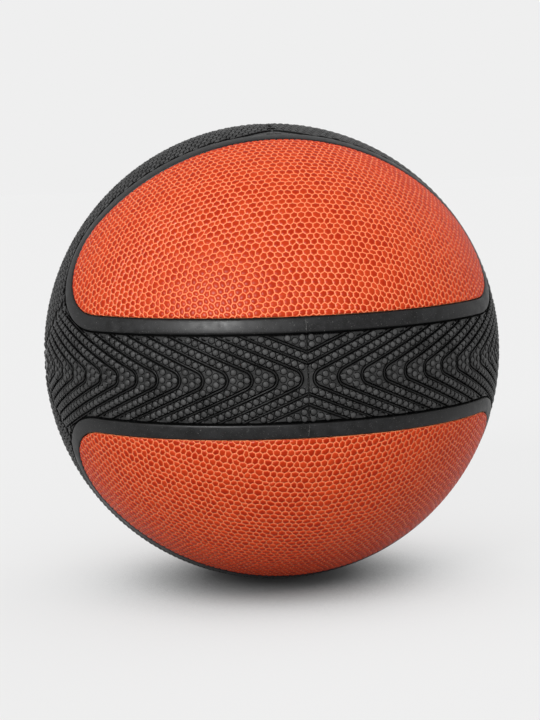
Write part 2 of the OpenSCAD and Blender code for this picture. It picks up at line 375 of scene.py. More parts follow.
def pebbled_leather():
    """Satin skin: valleys lighter than the domes, each pebble a little different in tone.

    A crown's tone is half its pebble's own and half that of slow clouds."""
    material, tree, shader = new_material("pebbled_synthetic_leather")
    place = add_node(tree, "ShaderNodeTexCoord").outputs["Object"]
    valley = add_node(tree, "ShaderNodeAttribute", {"attribute_name": "valley"}).outputs["Fac"]
    tone = add_node(tree, "ShaderNodeAttribute", {"attribute_name": "tone"}).outputs["Fac"]
    clouds = add_node(tree, NOISE, Vector=place, Scale=1 / (CLOUD_MM * MM), Detail=4.0).outputs["Fac"]
    own = add_node(tree, MATH, {"operation": "MULTIPLY"}, i0=tone, i1=0.5).outputs[0]
    blend = add_node(tree, MATH, {"operation": "MULTIPLY_ADD"}, i0=clouds, i1=0.5, i2=own).outputs[0]
    crown = add_node(tree, RAMP, {"stops": CROWN_TONES}, i0=blend).outputs[0]
    side = add_node(tree, RAMP, {"stops": [(0.1, BLACK), (0.6, WHITE)]}, i0=valley).outputs[0]
    seam = add_node(tree, RAMP, {"stops": [(0.76, BLACK), (0.98, WHITE)]}, i0=valley).outputs[0]
    colour = crown
    for share, tint in ((side, SHOULDER_TONE), (seam, VALLEY_TONE)):
        colour = add_node(tree, MIX, {"data_type": "RGBA"}, i0=share, i6=colour, i7=linear(tint)).outputs[2]
    grain = add_node(tree, NOISE, Vector=place, Scale=1 / (SKIN_GRAIN_MM * MM), Detail=3.0).outputs["Fac"]
    bump = add_node(tree, "ShaderNodeBump", Strength=0.25, Distance=0.08 * MM, Height=grain)
    tree.links.new(colour, shader.inputs["Base Color"])
    tree.links.new(bump.outputs[0], shader.inputs["Normal"])
    shader.inputs["Roughness"].default_value = 0.31
    shader.inputs["Specular IOR Level"].default_value = 0.1
    return material


leather = pebbled_leather()

# %% [markdown]
# Black rubber
#
# The cover, its borders and the valve are one family of moulded carbon-filled rubber. The grip
# ribs came out of a blasted mould and stay dull. The border strips are smoother, scuffed and
# bloomed in patches, so their sheen wanders. A mould's own grain is too fine to show, so it is
# drawn at about half a millimetre. Wear could be painted by hand, but here it is worked out:
# hands rub what is high, so a point's depth below the crest tells how much it is rubbed. The same
# depth also paints shade: dark rings round the feet of the domes, dark edges on the borders and
# black channel bottoms, with two thin lines of painted shade beside the parting fin.

# %% Where rubber is rubbed, dusty and painted with shade
DUST_MM = 0.45
SEAM_SHADE_SWAY_MM = 2.2
# Millimetres from the parting plane, and the grey of the painted shade there
SEAM_PAINTED_SHADE = [(0.56, WHITE), (0.62, "#383838"), (0.8, "#383838"), (0.94, WHITE)]


def depth_below_crest(tree, place):
    """How many millimetres a point lies below the crest sphere: the radius less its distance."""
    distance = add_node(tree, "ShaderNodeVectorMath", {"operation": "LENGTH"}, i0=place).outputs["Value"]
    scaled = add_node(tree, MATH, {"operation": "MULTIPLY"}, i0=distance, i1=-1 / MM).outputs[0]
    return add_node(tree, MATH, {"operation": "ADD"}, i0=scaled, i1=CREST).outputs[0]


def seam_distance(tree, place):
    """Distance in mm from the parting plane, which is X = 0."""
    across = add_node(tree, "ShaderNodeSeparateXYZ", Vector=place).outputs["X"]
    side = add_node(tree, MATH, {"operation": "ABSOLUTE"}, i0=across).outputs[0]
    return add_node(tree, MATH, {"operation": "MULTIPLY"}, i0=side, i1=1 / MM).outputs[0]


def painted_seam_shade(tree, place):
    """Painted shade: grey that is dark in two thin, uneven lines beside the parting plane.

    Their place is the distance from that plane, pushed in and out by a slow noise."""
    sway = add_node(tree, NOISE, Vector=place, Scale=1 / (SEAM_SHADE_SWAY_MM * MM), Detail=2.0).outputs["Fac"]
    pushed = add_node(
        tree, MATH, {"operation": "MULTIPLY_ADD"}, i0=sway, i1=0.9, i2=seam_distance(tree, place)
    ).outputs[0]
    return add_node(tree, RAMP, {"stops": SEAM_PAINTED_SHADE}, i0=pushed).outputs[0]


def dust_cover(tree, place, dust):
    """How much light grit covers a point: grains of noise, and more of them by the parting line."""
    grit = add_node(tree, NOISE, Vector=place, Scale=1 / (DUST_MM * MM), Detail=2.0).outputs["Fac"]
    by_seam = {"stops": [(0.3, WHITE), (1.0, BLACK)]}
    near = add_node(tree, RAMP, by_seam, i0=seam_distance(tree, place)).outputs[0]
    more = add_node(tree, MATH, {"operation": "MULTIPLY_ADD"}, i0=near, i1=0.07, i2=grit).outputs[0]
    grains = add_node(tree, RAMP, {"stops": [(0.68, BLACK), (0.76, WHITE)]}, i0=more).outputs[0]
    return add_node(tree, MATH, {"operation": "MULTIPLY"}, i0=grains, i1=dust).outputs[0]


# %% Moulded rubber in its finishes
DUST_TONE = "#c4c2be"


def moulded_rubber(
    name, dark, light, roughness, patch_mm, grain_mm, grain_depth, specular=0.5, wear_and_shade=(), dust=0.0
):
    """Carbon-filled rubber: patches between two greys, a roughness that follows, a fine grain.

    wear_and_shade is a list of depths in mm and greys, which the colour is multiplied by: crests are
    rubbed lighter, and deeper places are darkened as painted shade, down to black at the bottoms
    of the channels. dust is how white the specks are that cling to the surface."""
    material, tree, shader = new_material(name)
    place = add_node(tree, "ShaderNodeTexCoord").outputs["Object"]
    patches = add_node(
        tree, NOISE, Vector=place, Scale=1 / (patch_mm * MM), Detail=6.0, Roughness=0.65
    ).outputs["Fac"]
    specks = add_node(tree, NOISE, Vector=place, Scale=1 / (grain_mm * MM), Detail=3.0).outputs["Fac"]
    both = add_node(tree, MATH, {"operation": "MULTIPLY_ADD"}, i0=specks, i1=0.35, i2=patches).outputs[0]
    colour = add_node(tree, RAMP, {"stops": [(0.5, dark), (0.85, light)]}, i0=both).outputs[0]
    low, high = roughness
    dull = add_node(tree, "ShaderNodeMapRange", Value=both, i1=0.4, i2=1.0, i3=low, i4=high)
    bump = add_node(tree, "ShaderNodeBump", Strength=0.5, Distance=grain_depth * MM, Height=specks)
    # The depth ramp is rubbing on the crests and painted shade below them; the seam's lines are painted
    # shade too.
    if wear_and_shade:
        deepest = wear_and_shade[-1][0]
        depth = depth_below_crest(tree, place)
        share = add_node(tree, MATH, {"operation": "DIVIDE"}, i0=depth, i1=deepest).outputs[0]
        stops = [(mm / deepest, grey) for mm, grey in wear_and_shade]
        rubbed_and_shaded = add_node(tree, RAMP, {"stops": stops}, i0=share).outputs[0]
        multiply = {"data_type": "RGBA", "blend_type": "MULTIPLY"}
        for shade in (rubbed_and_shaded, painted_seam_shade(tree, place)):
            colour = add_node(tree, MIX, multiply, i0=1.0, i6=colour, i7=shade).outputs[2]
    if dust:
        cover = dust_cover(tree, place, dust)
        colour = add_node(
            tree, MIX, {"data_type": "RGBA"}, i0=cover, i6=colour, i7=linear(DUST_TONE)
        ).outputs[2]
    tree.links.new(colour, shader.inputs["Base Color"])
    tree.links.new(dull.outputs[0], shader.inputs["Roughness"])
    tree.links.new(bump.outputs[0], shader.inputs["Normal"])
    shader.inputs["Specular IOR Level"].default_value = specular
    return material


# %% Mix the rubbers
# Millimetres below the crest, and the grey there: crests rubbed lighter, and painted shade in the
# dark ring round each dome's foot, at the strips' edges and down the channels
GRIP_WEAR_AND_SHADE = [
    (0.1, "#ffffff"), (0.3, "#f0f0f0"), (0.6, "#d8d8d8"), (0.64, "#202020"), (0.67, "#000000"),
    (0.9, "#000000"), (0.93, "#bcbcbc"), (1.02, "#b4b4b4"), (1.06, "#989898"), (1.18, "#a4a4a4"),
    (1.24, "#101010"), (2.0, "#000000"),
]
# The border's greys darken down its rounded edges: painted shade, with the crown rubbed lighter.
BORDER_WEAR_AND_SHADE = [(0.1, "#ffffff"), (0.3, "#d0d0d0"), (0.55, "#484848"), (1.2, "#181818")]
grip_rubber = moulded_rubber(
    "blasted_grip_rubber", "#3f3f3f", "#5f5f5f", (0.24, 0.36), 9, 0.5, 0.04, specular=0.05,
    wear_and_shade=GRIP_WEAR_AND_SHADE, dust=0.25,
)
border_rubber = moulded_rubber(
    "smooth_border_rubber", "#030303", "#262627", (0.3, 0.68), 6, 0.35, 0.03, specular=0.24,
    wear_and_shade=BORDER_WEAR_AND_SHADE, dust=0.45,
)
# Near-black rubber for the channel floors: painted shade in the creases.
painted_shade_channel_rubber = moulded_rubber(
    "channel_floor_painted_shade", "#050505", "#0a0a0a", (0.6, 0.75), 9, 0.5, 0.04, specular=0.02
)
valve_rubber = moulded_rubber("soft_valve_rubber", "#1b1b1b", "#2c2c2c", (0.45, 0.6), 4, 0.3, 0.02)
plug_rubber = moulded_rubber("self_closing_plug_rubber", "#3c2f2a", "#57443b", (0.5, 0.65), 2, 0.25, 0.02)
carcass_rubber = moulded_rubber("carcass_rubber", "#1d1d1e", "#2b2b2b", (0.7, 0.85), 6, 0.4, 0.04)
bladder_rubber = moulded_rubber("butyl_bladder_rubber", "#202022", "#2f2f31", (0.5, 0.7), 18, 0.8, 0.02)
print(len(bpy.data.materials), "materials so far")

# %% [markdown]
# Thread and cloth
#
# Under the cover lies nylon thread, wound all ways round the ball, and behind each panel a
# cotton cloth. Nobody sees them until the ball is taken apart, so crossed waves stand for the
# threads. Single threads of 0.6 and 0.5 mm would blur, so each wave is a bundle of about six.

# %% Wound thread and woven cloth
WAVE_TURN = 20
THREADS_IN_BUNDLE = 2 * np.pi
THREAD_BUNDLE_MM = 0.6 * THREADS_IN_BUNDLE
CLOTH_BUNDLE_MM = 0.5 * THREADS_IN_BUNDLE


def wave_scale(width):
    """Scale at which a wave texture has one band in this many mm: a whole turn over 20 a unit."""
    return 2 * np.pi / (WAVE_TURN * width * MM)


def finish_fibres(material, tree, shader, height, stops, depth, roughness):
    """Colour and bump of a fibre surface from its height, and one dull roughness."""
    colour = add_node(tree, RAMP, {"stops": stops}, i0=height).outputs[0]
    bump = add_node(tree, "ShaderNodeBump", Strength=0.6, Distance=depth * MM, Height=height)
    tree.links.new(colour, shader.inputs["Base Color"])
    tree.links.new(bump.outputs[0], shader.inputs["Normal"])
    shader.inputs["Roughness"].default_value = roughness
    return material


def wound_thread():
    """Nylon thread wound all ways round the ball: the highest of three sets of crossing waves."""
    material, tree, shader = new_material("wound_nylon_thread")
    place = add_node(tree, "ShaderNodeTexCoord").outputs["Object"]
    height = 0.0
    for turn in ((0.3, 0.2, 0.1), (1.2, 0.9, 0.4), (0.7, 2.1, 1.5)):
        turned = add_node(tree, "ShaderNodeMapping", Vector=place, Rotation=turn).outputs[0]
        threads = add_node(
            tree, "ShaderNodeTexWave", Vector=turned, Scale=wave_scale(THREAD_BUNDLE_MM), Distortion=1.5,
            Detail=1.0,
        ).outputs["Fac"]
        height = add_node(tree, MATH, {"operation": "MAXIMUM"}, i0=threads, i1=height).outputs[0]
    tones = [(0.3, "#8f8b80"), (0.8, "#dcd8cb"), (1.0, "#efece2")]
    return finish_fibres(material, tree, shader, height, tones, 0.2, 0.6)


def woven_cloth():
    """Cotton backing cloth, brushed with glue: a plain weave, one set of waves times another."""
    material, tree, shader = new_material("glued_cotton_backing")
    place = add_node(tree, "ShaderNodeTexCoord").outputs["Object"]
    weave = [
        add_node(
            tree, "ShaderNodeTexWave", {"bands_direction": way}, Vector=place,
            Scale=wave_scale(CLOTH_BUNDLE_MM),
        ).outputs["Fac"]
        for way in ("X", "Z")
    ]
    height = add_node(tree, MATH, {"operation": "MULTIPLY"}, i0=weave[0], i1=weave[1]).outputs[0]
    return finish_fibres(material, tree, shader, height, [(0.0, "#7d6a4d"), (0.6, "#b9a37e")], 0.1, 0.85)


winding_thread = wound_thread()
backing_cloth = woven_cloth()

# %% [markdown]
# Panels of pebbles
#
# On the real skin each pebble is a rounded, uneven cell, cut off where the panel ends. A bump
# map would flatten out at the rim of the ball, so each pebble is modelled. The cells come from
# a lattice of triangles whose points are nudged at random: a cell's corners are the centres of
# the triangles round one point, so neighbours share them and the valleys always close.

# %% Lay the lattice of pebbles
PEBBLE_PITCH = 3.5
SPINE_LAT = 41.8
NUDGE = 0.17
NUDGE_LIMIT = 1.2
HALF_ROWS = 23
HALF_COLUMNS = 56
ROW_BEND, ROW_BEND_OVER = 1.5, 17
STEP_BEND, STEP_BEND_OVER = 1.1, 23
SIDE_BEND, SIDE_BEND_OVER = 1.2, 31


def pebble_lattice(seed):
    """Nudged lattice points as unit vectors: rows along the panel's spine, every other one
    shifted by half a pitch, drawn on a cylinder round the spine's great circle.

    Slow sine waves bend the rows by a millimetre or so, as a pressed skin's do."""
    rng = np.random.default_rng(seed)
    row = np.arange(-HALF_ROWS, HALF_ROWS + 1)[:, None] + np.zeros(2 * HALF_COLUMNS + 1)
    column = np.arange(-HALF_COLUMNS, HALF_COLUMNS + 1)[None, :] + 0 * row
    along = (column + (row % 2) / 2) * PEBBLE_PITCH
    across = row * PEBBLE_PITCH * np.sqrt(3) / 2
    nudges = rng.normal(0, NUDGE * PEBBLE_PITCH, (2,) + row.shape).clip(-NUDGE_LIMIT, NUDGE_LIMIT)
    sway = ROW_BEND * np.sin(across / ROW_BEND_OVER) + STEP_BEND * np.sin(along / STEP_BEND_OVER)
    lift = SIDE_BEND * np.sin(along / SIDE_BEND_OVER + 1)
    along, across = along + nudges[0] + sway, across + nudges[1] + lift
    p, q = np.radians(arc(along)), np.radians(arc(across))
    tilt = np.radians(SPINE_LAT)
    sideways, forward, up = np.sin(p) * np.cos(q), np.cos(p) * np.cos(q), np.sin(q)
    back = -forward * np.cos(tilt) + up * np.sin(tilt)
    return np.stack([sideways, back, forward * np.sin(tilt) + up * np.cos(tilt)], -1)


def cell_rims(points):
    """Twelve rim points of each cell: six triangle centres and the middles between them.

    The six neighbours of a point lie at fixed steps of row and column, which differ between
    even and odd rows."""
    steps_even = [(0, 1), (1, 0), (1, -1), (0, -1), (-1, -1), (-1, 0)]
    steps_odd = [(0, 1), (1, 1), (1, 0), (0, -1), (-1, 0), (-1, 1)]
    odd = (np.arange(-HALF_ROWS, HALF_ROWS + 1) % 2 == 1)[:, None, None]
    around = [
        np.where(odd, np.roll(points, (-b[0], -b[1]), (0, 1)), np.roll(points, (-a[0], -a[1]), (0, 1)))
        for a, b in zip(steps_even, steps_odd)
    ]
    corners = [unit(points + around[i] + around[(i + 1) % 6]) for i in range(6)]
    middles = [unit(corners[i] + corners[(i + 1) % 6]) for i in range(6)]
    rims = np.stack([point for pair in zip(corners, middles) for point in pair], 2)
    return rims[1:-1, 1:-1].reshape(-1, 12, 3)


print(len(cell_rims(pebble_lattice(1))), "cells before the outline cuts them")

# %% [markdown]
# Each cell becomes a low dome: a valley floor along its rim, a steep little wall, a shoulder
# and a crown. The panel's edge rolls down, as a skin does where it is tucked beside its
# border, and a plain underside and a wall close the panel into one solid.

# %% Number the points of a cell and fill its faces
RIM_POINTS = 12
CROWN_POINTS = 6
SHOULDER = 2 * RIM_POINTS
CROWN = SHOULDER + RIM_POINTS
CENTRE = CROWN + CROWN_POINTS
UNDER = CENTRE + 1


def cell_faces():
    """Triangles of one cell: bands between its rings, a fan at the crown, a fan underneath."""
    ring = np.arange(RIM_POINTS)
    after = (ring + 1) % RIM_POINTS
    band = triangles(np.stack([ring, after, after + RIM_POINTS, ring + RIM_POINTS], -1))
    six = np.arange(CROWN_POINTS)
    outer, inner, next_inner = SHOULDER + 2 * six, CROWN + six, CROWN + (six + 1) % CROWN_POINTS
    crown = [
        np.stack([outer, outer + 1, inner], -1),
        np.stack([outer + 1, SHOULDER + (2 * six + 2) % RIM_POINTS, next_inner], -1),
        np.stack([outer + 1, next_inner, inner], -1),
        np.stack([inner, next_inner, np.full(CROWN_POINTS, CENTRE)], -1),
    ]
    fan = UNDER + np.stack([0 * ring[2:], ring[2:], ring[1:-1]], -1)
    return np.concatenate([band, band + RIM_POINTS] + crown + [fan])


def rim_walls(points):
    """Wall quads, as triangles, down from each top rim edge that no other cell shares."""
    flat = points.reshape(-1, 3)
    _, names = np.unique(np.round(flat / SAME_POINT), axis=0, return_inverse=True)
    names = names.reshape(-1)
    starts = points.shape[1] * np.arange(len(points))[:, None]
    a = (starts + np.arange(RIM_POINTS)).ravel()
    b = (starts + (np.arange(RIM_POINTS) + 1) % RIM_POINTS).ravel()
    low, high = np.minimum(names[a], names[b]), np.maximum(names[a], names[b])
    _, index, uses = np.unique(low * len(flat) + high, return_inverse=True, return_counts=True)
    alone = (uses[index.reshape(-1)] == 1) & (low != high)
    a, b = a[alone], b[alone]
    return triangles(np.stack([b, a, a + UNDER, b + UNDER], -1))


# %% Raise the pebbles and close the panel
# Inset from the rim and depth below the crest in mm, and share of the valley
PEBBLE_RINGS = [(0.14, 0.68, 1.0), (0.55, 0.36, 0.3)]
DEEPEST_INSET = 0.8
CROWN_SHARE = 0.5
CROWN_DEPTHS = (0.24, 0.2)
RIM_DEPTH = 0.72
ROLL_W = 1.1
ROLL_DROP = 0.35
LEAST_SHOWN = 0.05
TONE_SEED = 50


def roll_off(points):
    """Extra depth in mm near the outline: a quarter circle's fall across the roll's width."""
    inside = np.clip(1 + edge_distance(points) / ROLL_W, 0, 1)
    return ROLL_DROP * (1 - np.sqrt(1 - inside ** 2))


def pebbled_panel(seed):
    """Closed solid of the upper front panel, with each point's valley and tone.

    A ring lies its inset in mm inside the rim, at its own depth, with its share of the valley."""
    rims = cell_rims(pebble_lattice(seed))
    rims = pull_inside(rims[(edge_distance(rims) < -LEAST_SHOWN).any(1)])
    count = len(rims)
    centre = unit(rims.mean(1, keepdims=True))
    reach = np.linalg.norm(rims - centre, axis=2, keepdims=True) * CREST + 1e-6
    tones = np.random.default_rng(seed + TONE_SEED).uniform(0, 1, (count, 1))
    rings = [(rims, RIM_DEPTH, 1.0)]
    for inset, depth, valley in PEBBLE_RINGS:
        share = np.clip(inset / reach, 0, DEEPEST_INSET)
        rings.append((unit(rims + (centre - rims) * share), depth, valley))
    rings.append((unit(centre + (rims[:, ::2] - centre) * CROWN_SHARE), CROWN_DEPTHS[0], 0.0))
    rings.append((centre, CROWN_DEPTHS[1], 0.0))
    ways = np.concatenate([ring for ring, _, _ in rings], 1)
    depth, valley = (
        np.concatenate([np.full(ring[0].shape[:2], ring[part]) for ring in rings], 1) for part in (1, 2)
    )
    top = ways * (CREST - depth - roll_off(ways))[..., None]
    points = np.concatenate([top, rims * (CREST - PANEL_UNDERSIDE)], 1)
    faces = (cell_faces()[None] + points.shape[1] * np.arange(count)[:, None, None]).reshape(-1, 3)
    shape = (points.reshape(-1, 3), np.concatenate([faces, rim_walls(points)]))
    attributes = {
        "valley": np.concatenate([valley, np.zeros((count, RIM_POINTS))], 1).ravel(),
        "tone": np.repeat(tones, points.shape[1], 1).ravel(),
    }
    return shape, attributes


# %% Make the four panels
PLACES = {
    "upper_front": (1, 1, 1),
    "lower_front": (1, 1, -1),
    "upper_back": (1, -1, 1),
    "lower_back": (1, -1, -1),
}
for seed, (place, signs) in enumerate(PLACES.items(), start=1):
    shape, attributes = pebbled_panel(seed)
    make_piece(
        f"pebbled_panel_{place}", flipped(shape, signs), leather, [f"panel_{place}"],
        crease=75, attributes=attributes,
    )

# %% [markdown]
# Border strips
#
# Each panel sits inside a smooth rubber strip, moulded with the cover and proud of it. Its
# section is a flat crown with small rounded edges. That section is carried round the outline,
# where every station knows its own way out, so the strip keeps its width in the corners.

# %% Carry the border's section round the outline
# Millimetres across the strip from its inner edge, and below the crest
BORDER_PLACES = np.array([0, 0, 0.2, 0.5, 1.2, 2.8, 4.8, 6.4, 7.15, 7.45, 7.6, 7.6])
BORDER_DEPTHS = np.array([2.15, 1.1, 0.6, 0.36, 0.24, 0.12, 0.1, 0.2, 0.34, 0.6, 1.0, 2.15])


def border_strip():
    """Closed ring: points across the strip, each at its own distance out and depth down."""
    ways = outline(outline_stations(2.0), PANEL_GAP + BORDER_PLACES)
    return ring_loft(ways * (CREST - BORDER_DEPTHS)[None, :, None])


for place, signs in PLACES.items():
    make_piece(
        f"border_strip_{place}", flipped(border_strip(), signs), border_rubber,
        [f"border_{place}"], crease=40,
    )

# %% [markdown]
# The grip: chevrons
#
# Rows of V-shaped ribs run along the band and over the belts, and all point to the parting
# line. Between two ribs lies a channel with a flat strip at its bottom and a fine crease on
# either side of it. A chevron's side is a rounded V drawn on a flat sheet laid against the
# ball, so its longitude at any height is a formula: an arc near the point, then a straight arm.
# Strips and ribs are closed bodies whose columns follow such sides.

# %% Where a chevron's side runs
FIRST_SHARP = arc(FIRST_POINT - POINT_R / np.sin(CHEVRON_SLOPE) + POINT_R)
CHEVRON_STEP = arc(CHEVRON_PITCH)
LAST_CHEVRON = 14
HIGHEST = 40.0
HEIGHTS = np.linspace(0, 1, 400) * HIGHEST


def chevron_longitude(height, chevron, side):
    """Longitude in degrees of a chevron's side at heights in mm above the centre line.

    Near the point it is the rounding's arc, centre less the root of radius squared less height
    squared. Beyond that it is the straight arm. side is the offset towards the parting line."""
    radius = POINT_R + side
    centre = POINT_R / np.sin(CHEVRON_SLOPE)
    on_arc = centre - np.sqrt(np.maximum(radius ** 2 - height ** 2, 0))
    on_arm = centre + (height * np.cos(CHEVRON_SLOPE) - radius) / np.sin(CHEVRON_SLOPE)
    sheet = np.where(height < radius * np.cos(CHEVRON_SLOPE), on_arc, on_arm)
    rise = np.sqrt(np.maximum(CREST ** 2 - sheet ** 2 - height ** 2, 1))
    return FIRST_SHARP + chevron * CHEVRON_STEP + np.degrees(np.arctan2(sheet, rise))


def as_belt(points):
    """Points of the band, mirrored at the diagonal plane on which it meets the belt."""
    return points[..., [0, 2, 1]] * [1, -1, -1]


def on_ball(height, longitude, belt):
    """Unit vectors at heights and longitudes of the band, or of the belt, its mirror image."""
    points = direction(np.degrees(np.arcsin(height / CREST)), longitude)
    return as_belt(points) if belt else points


def room_left(points, belt):
    """Distance in mm to where a rib must end: the border's margin, or the diagonal plane on
    which band and belt meet. Also tells where the margin comes first."""
    margin = edge_distance(points) - BORDER_STEP - MARGIN_W
    across = (-points[..., 1] - points[..., 2]) * (-1 if belt else 1)
    diagonal = np.arcsin(np.clip(across / np.sqrt(2), -1, 1)) * CREST
    return np.minimum(margin, diagonal), margin < diagonal


print("first rounded point at", round(float(chevron_longitude(np.array(0.0), 0, 0) / arc(1)), 2), "mm")

# %% [markdown]
# Where a rib begins and ends
#
# A mould maker cuts the ribs off at the border with a template. Here that is a search: along
# each column of a rib, the room left is worked out at 400 heights, and the place where it runs
# out is found between two of them. It needs no cutting of meshes, so the ends stay clean.

# %% Find the stretch that a column can use
END_DROP = 0.45
END_SLOPE_W = 0.3


def first_true(flags):
    """Index of the first true flag in each row, or the last index where none is."""
    return np.where(flags.any(1), flags.argmax(1), flags.shape[1] - 1)


def refine(values, index):
    """Height at which values cross zero just before an index, by a straight line between."""
    if index == 0:
        return HEIGHTS[0]
    before, after = values[index - 1], values[index]
    if before * after > 0:
        return HEIGHTS[index]
    return HEIGHTS[index - 1] + (HEIGHTS[index] - HEIGHTS[index - 1]) * before / (before - after)


def crossings(rows, indices):
    """The refined height of each row's crossing."""
    return np.array([refine(row, index) for row, index in zip(rows, indices)])


def second_stretch(room, end):
    """Where each row's room comes back after its first end, where it ends again, and whether.

    A row whose room never comes back gets the index of its widest room twice, so no length."""
    after = np.arange(room.shape[1])[None, :] > end[:, None]
    free = after & (room > 0)
    widest = np.where(after, room, -np.inf).argmax(1)
    start = np.where(free.any(1), free.argmax(1), widest)
    past = (room < 0) & (np.arange(room.shape[1])[None, :] > start[:, None])
    return start, np.where(free.any(1), first_true(past), widest), free.any(1)


def stretch(longitude, room, arm_only, beyond):
    """Lowest and highest height in mm of each column, and the index at which it ends.

    A column starts at the centre line, or for an arm that comes over the parting line, on that
    line. An arm that the border's long edge cuts can come out again past the border's corner,
    and beyond asks for that stretch."""
    start = first_true(longitude > 0) if arm_only else np.zeros(len(longitude), int)
    end = first_true((room < 0) & (np.arange(len(HEIGHTS))[None, :] >= start[:, None]))
    if not beyond:
        low, high = crossings(longitude, start), crossings(room, end)
        return np.minimum(low, high), high, end
    start, end, again = second_stretch(room, end)
    low = np.where(again, crossings(room, start), HEIGHTS[start])
    high = np.where(again, crossings(room, end), HEIGHTS[start])
    return np.minimum(low, high), high, end


def row_shares(rows, arm_only):
    """Shares of the way along an arm: even for an arm, closer at the point for a whole V."""
    even = np.linspace(0, 1, rows)
    shares = even if arm_only else 0.4 * even + 0.6 * even ** 2
    return np.concatenate([shares[:-1], [1 - END_SLOPE_W / HIGHEST, 1]])


# %% Fill the space between two sides
RIB_FOOT = 2.0
SHORTEST = 0.3


def grip_patch(left, right, shares, depths, belt, rows, arm_only, beyond=False):
    """Closed rib or strip between two sides, each a list of (chevron, offset) per column.

    A column's longitude is the mix of its two sides, and its end slopes down at a border. Rows
    are spaced between the column's heights, closer near the point."""
    sides = [np.stack([chevron_longitude(HEIGHTS, *side) for side in column]) for column in (left, right)]
    share = np.array(shares)[:, None]
    longitude = sides[0] * (1 - share) + sides[1] * share
    every_height = HEIGHTS[None, :] + 0 * longitude
    room, at_margin = room_left(on_ball(every_height, np.maximum(longitude, 0), belt), belt)
    low, high, end = stretch(longitude, room, arm_only, beyond)
    if (high - low).max() < SHORTEST:
        return None
    height = low[:, None] + (high - low)[:, None] * row_shares(rows, arm_only)[None, :]
    place = np.stack([np.interp(row, HEIGHTS, column) for row, column in zip(height, longitude)])
    if not arm_only:
        height = np.concatenate([-height[:, :0:-1], height], 1)
        place = np.concatenate([place[:, :0:-1], place], 1)
    drop = np.zeros(height.shape)
    drop[:, -1] = np.where(at_margin[np.arange(len(end)), end], END_DROP, 0)
    if beyond:
        drop[:, 0] = END_DROP
    if not arm_only:
        drop[:, 0] = drop[:, -1]
    depth = np.minimum(np.array(depths)[:, None] + drop, RIB_FOOT)
    points = on_ball(height, np.maximum(place, 0), belt) * (CREST - depth)[..., None]
    return loft(points.transpose(1, 0, 2))


# %% [markdown]
# A rib has a nearly flat top with rounded shoulders and steep sides. The strip in a channel is
# narrow and lies deeper. Both stand on a closed base sheet whose face is the crease floor.

# %% Shape the ribs and the channel strips
RIB_INNER = 0.98
RIB_OUTER = 0.82
RIB_TOP = 0.94
# Millimetres in from the rib's foot, and below the crest
RIB_SHOULDERS = [(0.0, RIB_FOOT), (0.05, 1.15), (0.2, 1.0), (0.5, RIB_TOP + 0.02)]
SHOULDER_DEPTHS = [depth for _, depth in RIB_SHOULDERS]
# Millimetres off the middle of the channel, and below the crest
STRIP_SIDES = [0.34, 0.27, 0.12, -0.12, -0.27, -0.34]
STRIP_DEPTHS = [RIB_FOOT, 1.24, 1.16, 1.16, 1.24, RIB_FOOT]
RIB_MIXES = [0.25, 0.5, 0.75]
TRIANGLE_MIXES = [0, 0.3, 0.6, 0.85]
ROWS_BEYOND, RIB_ARM_ROWS, STRIP_ARM_ROWS, WHOLE_ROWS = 8, 20, 16, 26
TRIANGLE_ROWS = 12
# The first chevron that has an arm on the cover, on the band and on the belt
SEAM_TRIANGLE = {False: -2, True: -5}


def outer_side(chevron):
    """Columns up a rib's outer shoulder, which looks away from the parting line."""
    return [(chevron, RIB_OUTER + inset) for inset, _ in RIB_SHOULDERS]


def rib(chevron, belt, beyond=False):
    """Rib between a chevron and the next one towards the pole.

    Its columns climb one shoulder, cross the top in mixes of the two sides, and climb down."""
    inner = [(chevron, -RIB_INNER - inset) for inset, _ in RIB_SHOULDERS]
    outer = outer_side(chevron + 1)
    steps, mixes = len(RIB_SHOULDERS), len(RIB_MIXES)
    left = inner + [inner[-1]] * (mixes + steps)
    right = [outer[-1]] * (steps + mixes) + outer[::-1]
    shares = [0] * steps + RIB_MIXES + [1] * steps
    depths = SHOULDER_DEPTHS + [RIB_TOP] * mixes + SHOULDER_DEPTHS[::-1]
    arm = chevron < -1
    rows = ROWS_BEYOND if beyond else RIB_ARM_ROWS if arm else WHOLE_ROWS
    return grip_patch(left, right, shares, depths, belt, rows, beyond or arm, beyond)


def strip(chevron, belt, beyond=False):
    """Flat strip along the bottom of a chevron's channel."""
    sides = [(chevron, side) for side in STRIP_SIDES]
    arm = chevron < 0
    rows = ROWS_BEYOND if beyond else STRIP_ARM_ROWS if arm else WHOLE_ROWS
    return grip_patch(sides, sides, [0] * len(sides), STRIP_DEPTHS, belt, rows, beyond or arm, beyond)


